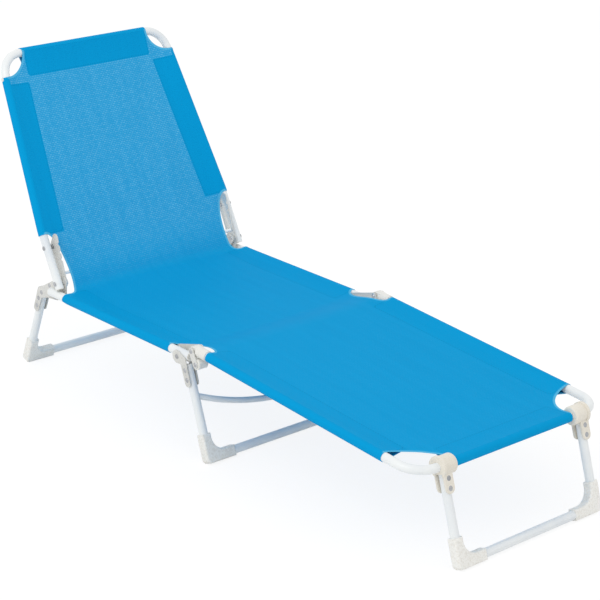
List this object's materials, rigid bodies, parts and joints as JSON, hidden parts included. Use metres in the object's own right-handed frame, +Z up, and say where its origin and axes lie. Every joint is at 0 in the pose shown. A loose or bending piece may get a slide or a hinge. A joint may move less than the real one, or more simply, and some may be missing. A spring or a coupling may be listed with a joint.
{
  "type": "folding sun lounger",
  "caption": "Low folding sun lounger with a mesh cover on a bent-tube frame: reclining backrest, hinged foot section and folding legs on moulded corner boots",
  "frame": {"origin": "on the ground, below the middle of the whole lounger", "axes": "X across the lounger, Y along it with the headrest towards +Y and the foot end towards -Y, Z up"},
  "size_m": [0.5858, 1.5486, 0.7625],
  "materials": {
    "mesh_cloth": "open woven plastic-coated mesh, sky blue, matte with a slight sheen",
    "white_enamel": "smooth white powder coat on steel tube",
    "bracket_steel": "light grey painted pressed steel",
    "zinc_fastener": "zinc plated, dull",
    "collar_plastic": "moulded cream plastic, satin",
    "fitting_plastic": "moulded off-white plastic, satin",
    "boot_plastic": "moulded white plastic, satin"
  },
  "bodies": {
    "seat": {"seat_rail_left": "white_enamel", "seat_rail_right": "white_enamel", "seat_rail_plugs": "fitting_plastic", "rear_bracket_left": "bracket_steel", "rear_bracket_right": "bracket_steel", "rear_bracket_inner_left": "bracket_steel", "rear_bracket_inner_right": "bracket_steel", "front_bracket_left": "bracket_steel", "front_bracket_right": "bracket_steel", "front_strap_left": "bracket_steel", "front_strap_right": "bracket_steel", "hinge_barrel_left": "fitting_plastic", "hinge_barrel_right": "fitting_plastic", "seat_rivets": "zinc_fastener", "backrest_pins": "zinc_fastener", "foot_pins": "zinc_fastener", "middle_leg_pins": "zinc_fastener", "rear_leg_pins": "zinc_fastener", "seat_fabric": "mesh_cloth"},
    "backrest": {"backrest_tube": "white_enamel", "adjuster_left": "bracket_steel", "adjuster_right": "bracket_steel", "backrest_brace": "white_enamel", "backrest_rivets": "zinc_fastener", "backrest_plugs": "fitting_plastic", "backrest_buttons": "fitting_plastic", "backrest_fabric": "mesh_cloth"},
    "foot_section": {"foot_tube": "white_enamel", "foot_socket_left": "fitting_plastic", "foot_socket_right": "fitting_plastic", "foot_fabric": "mesh_cloth"},
    "rear_leg": {"rear_leg_tube": "white_enamel", "rear_cheek_inner_left": "bracket_steel", "rear_cheek_inner_right": "bracket_steel", "rear_cheek_outer_left": "bracket_steel", "rear_cheek_outer_right": "bracket_steel", "rear_leg_rivets": "zinc_fastener", "rear_leg_spacers": "zinc_fastener", "rear_boot_left": "boot_plastic", "rear_boot_right": "boot_plastic"},
    "middle_leg": {"middle_leg_tube": "white_enamel", "middle_leg_brace": "white_enamel", "middle_cheek_inner_left": "bracket_steel", "middle_cheek_inner_right": "bracket_steel", "middle_cheek_outer_left": "bracket_steel", "middle_cheek_outer_right": "bracket_steel", "middle_leg_rivets": "zinc_fastener", "middle_boot_left": "boot_plastic", "middle_boot_right": "boot_plastic"},
    "front_leg": {"front_leg_tube": "white_enamel", "front_collar_left": "collar_plastic", "front_collar_right": "collar_plastic", "front_leg_screws": "zinc_fastener", "front_boot_left": "boot_plastic", "front_boot_right": "boot_plastic"}
  },
  "joints": [
    {"name": "backrest_recline", "type": "hinge", "parent": "seat", "child": "backrest", "pos_m": [0, 0.4985, 0.263], "axis": [-1, 0, 0], "range_deg": [-112, 61]},
    {"name": "foot_fold", "type": "hinge", "parent": "seat", "child": "foot_section", "pos_m": [0, -0.0135, 0.256], "axis": [-1, 0, 0], "range_deg": [0, 150]},
    {"name": "rear_leg_fold", "type": "hinge", "parent": "seat", "child": "rear_leg", "pos_m": [0, 0.5865, 0.212], "axis": [-1, 0, 0], "range_deg": [0, 110]},
    {"name": "middle_leg_fold", "type": "hinge", "parent": "seat", "child": "middle_leg", "pos_m": [0, 0.0385, 0.227], "axis": [1, 0, 0], "range_deg": [0, 108]},
    {"name": "front_leg_fold", "type": "hinge", "parent": "foot_section", "child": "front_leg", "pos_m": [0, -0.6975, 0.206], "axis": [1, 0, 0], "range_deg": [0, 92]}
  ]
}
